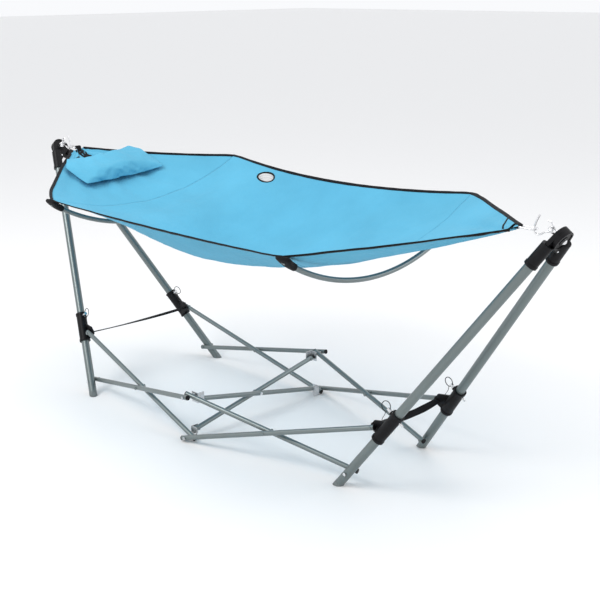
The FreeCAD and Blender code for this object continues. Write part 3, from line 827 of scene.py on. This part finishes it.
def lay_pillow(p):
    """Lays the puffed shape on the cloth: its underside follows the bed and stays just clear of it."""
    x = -0.803 + p[:, 0] * 0.98
    share = np.clip(p[:, 1] / edge_y(x, 1), -0.97, 0.97)
    height = np.where(p[:, 2] < 0, 0.16 * p[:, 2], p[:, 2]) + 0.008
    cloth = level_point(x, share)
    ease = 0.55 * sag(x) * (1 - np.abs(share) ** 2.1) * 0.35
    wrinkle = np.array([0.0035 * wave((a * 1.0, b * 2.2), 16.0, 4.4) + 0.0015 * wave((a, b), 42.0, 8.1)
                        for a, b in zip(x, p[:, 1])]) * np.clip(p[:, 2] / 0.02, 0, 1)
    out = np.stack([x + height * 0.12, share * edge_y(x, 1), cloth[:, 2] + ease + height + wrinkle], axis=-1)
    return tipped(out)


laid = lay_pillow(shape)
for i, v in enumerate(pillow.data.vertices):
    v.co = laid[i]
bm = bmesh.new()
bm.from_mesh(pillow.data)
bmesh.ops.recalc_face_normals(bm, faces=bm.faces)
bm.to_mesh(pillow.data)
bm.free()
layer = pillow.data.uv_layers.new(name="UVMap")
index = np.empty(len(pillow.data.loops), dtype=int)
pillow.data.loops.foreach_get("vertex_index", index)
layer.data.foreach_set("uv", start[:, :2].astype(np.float32)[index].ravel())
soft = pillow.modifiers.new("soft", "SUBSURF")
soft.levels = soft.render_levels = 1
finish_modifiers(pillow)
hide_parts("pillow")
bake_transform(pillow)


# --- straps between the brackets -------------------------------------------------------------------
for name, end in ENDS.items():
    low, high = (np.array(c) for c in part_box("strap_" + name))
    x, top = (low[0] + high[0]) / 2, high[2] - 0.001
    n = 80
    share = np.linspace(-1, 1, n)
    y = share * (high[1] - low[1]) / 2 + (high[1] + low[1]) / 2
    if name == "head":
        z = top - 0.004 * (1 - share ** 2)
        twist = np.radians(12) * np.sin(share * 2.4)
        width = 0.017
        xx = np.full(n, x)
    else:
        z = top - 0.008 * (1 - np.abs(share) ** 1.6) - 0.002
        twist = np.radians(70) * np.clip(1.15 - np.abs(share) ** 1.5, 0, 1)
        twist = twist + np.radians(6) * np.sin(share * 7)
        width = 0.022
        xx = x + 0.003 * np.sin(share * 3.0)
    ups = np.stack([np.sin(twist), np.zeros(n), np.cos(twist)], axis=-1)
    route = np.stack([xx, y, z], axis=-1)
    strap = ribbon("webbing_" + name, route, ups, width, 0.0018)
    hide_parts("strap_" + name)
    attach(strap, f"slide_bracket_{name}_near")
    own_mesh(strap)


# --- small metal parts -----------------------------------------------------------------------------
def turned(name, at, axis, profile, slot, body, sides=28):
    """A turned part: profile [(radius, height)] spun about axis at a point."""
    axis = normalised(np.asarray(axis, float))
    side = normalised(np.cross(axis, np.array([0.31, 0.52, 0.79])))
    other = np.cross(axis, side)
    verts = []
    for r, h in profile:
        for k in range(sides):
            a = 2 * math.pi * k / sides
            verts.append(np.asarray(at) + axis * h + side * (r * math.cos(a)) + other * (r * math.sin(a)))
    faces = grid_faces(len(profile), sides, closed=True)
    faces += [tuple(range(sides))[::-1], tuple((len(profile) - 1) * sides + j for j in range(sides))]
    obj = make(name, verts, faces, slot)
    bm = bmesh.new()
    bm.from_mesh(obj.data)
    bmesh.ops.recalc_face_normals(bm, faces=bm.faces)
    bm.to_mesh(obj.data)
    bm.free()
    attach(obj, body)
    return obj


def dome(r, h):
    return [(r, 0.0), (r, h * 0.15), (r * 0.93, h * 0.5), (r * 0.72, h * 0.8), (r * 0.4, h * 0.96),
            (r * 0.12, h)]


def screw_profile(r, h):
    return dome(r, h)[:4] + [(r * 0.45, h * 0.9), (r * 0.40, h * 0.45), (r * 0.1, h * 0.42)]


joints = {j["name"]: j for j in frame["joints"]}
for end_name, end in ENDS.items():
    for side_name, side in SIDES.items():
        tag = f"{end_name}_{side_name}"
        # a domed cap on the rivet through the foot of each leg
        pivot = np.array(joints["fold_leg_" + tag]["pos_m"])
        leg_y = {"head": 0.2798, "foot": 0.1848}[end_name] + 0.014 + 0.0012 + 0.002
        turned("rivet_leg_" + tag, (pivot[0], side * leg_y, pivot[2]), (0, side, 0), dome(0.0052, 0.0016),
               "bright_metal", "leg_" + tag)


# screws that close the moulded hub halves
for end_name, end in ENDS.items():
    up = np.array([0.589 * end, 0, 0.808])
    out = np.array([0.808 * end, 0, -0.589])
    hub = np.array([end * 1.1509, 0.0, 0.8131])
    for side_name, side in SIDES.items():
        face = hub + out * (0.0122 if side > 0 else -0.0122)
        facing = out * side
        for k, (y, rise) in enumerate(((0.024, -0.024), (0.013, -0.040))):
            at = face + np.array([0, side * y, 0]) + up * rise
            turned(f"hub_screw_{end_name}_{side_name}_{k}", at - facing * 0.0003, facing,
                   screw_profile(0.0036, 0.0018), "bright_metal", f"leg_{end_name}_{side_name}")


# --- short stiff wire loops on the pull rings ------------------------------------------------------
def wire_tube(name, points, radius, slot, sides=10):
    points = np.asarray(points, float)
    ahead = normalised(np.gradient(points, axis=0))
    side = normalised(np.cross(ahead, np.array([0.31, 0.22, 0.92])))
    other = np.cross(ahead, side)
    turns = np.linspace(0, 2 * math.pi, sides + 1)[:-1]
    outline = [(radius * math.cos(a), radius * math.sin(a)) for a in turns]
    return sweep(name, points, side, other, outline, slot)


for end_name, end in ENDS.items():
    for side_name, side in SIDES.items():
        tag = f"{end_name}_{side_name}"
        low, high = (np.array(c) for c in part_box("pull_ring_" + tag))
        centre = (low + high) / 2
        start = np.array([centre[0], centre[1], low[2] + 0.0012])
        bend = [start, start + (-0.003, side * 0.002, -0.012), start + (-0.009, side * 0.003, -0.022),
                start + (-0.014, side * 0.001, -0.033), start + (-0.010, side * -0.001, -0.044),
                start + (-0.001, side * -0.001, -0.047), start + (0.005, 0, -0.038),
                start + (0.001, side * 0.002, -0.028)]
        route = spline(bend, 70)
        wire = wire_tube("lanyard_" + tag, route, 0.0009, "black_wire")
        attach(wire, "pull_ring_" + tag)


# --- floor -----------------------------------------------------------------------------------------
ground = bpy.data.meshes.new("floor")
ground.from_pydata([(-45, -45, 0), (45, -45, 0), (45, 45, 0), (-45, 45, 0)], [], [(0, 1, 2, 3)])
floor = bpy.data.objects.new("floor", ground)
floor.location.z = CAD_BOX[0][2] - 0.0005
collection.objects.link(floor)
pale = Shader("pale_floor", (0.86, 0.86, 0.86), 0.7)
ground.materials.append(pale.material)
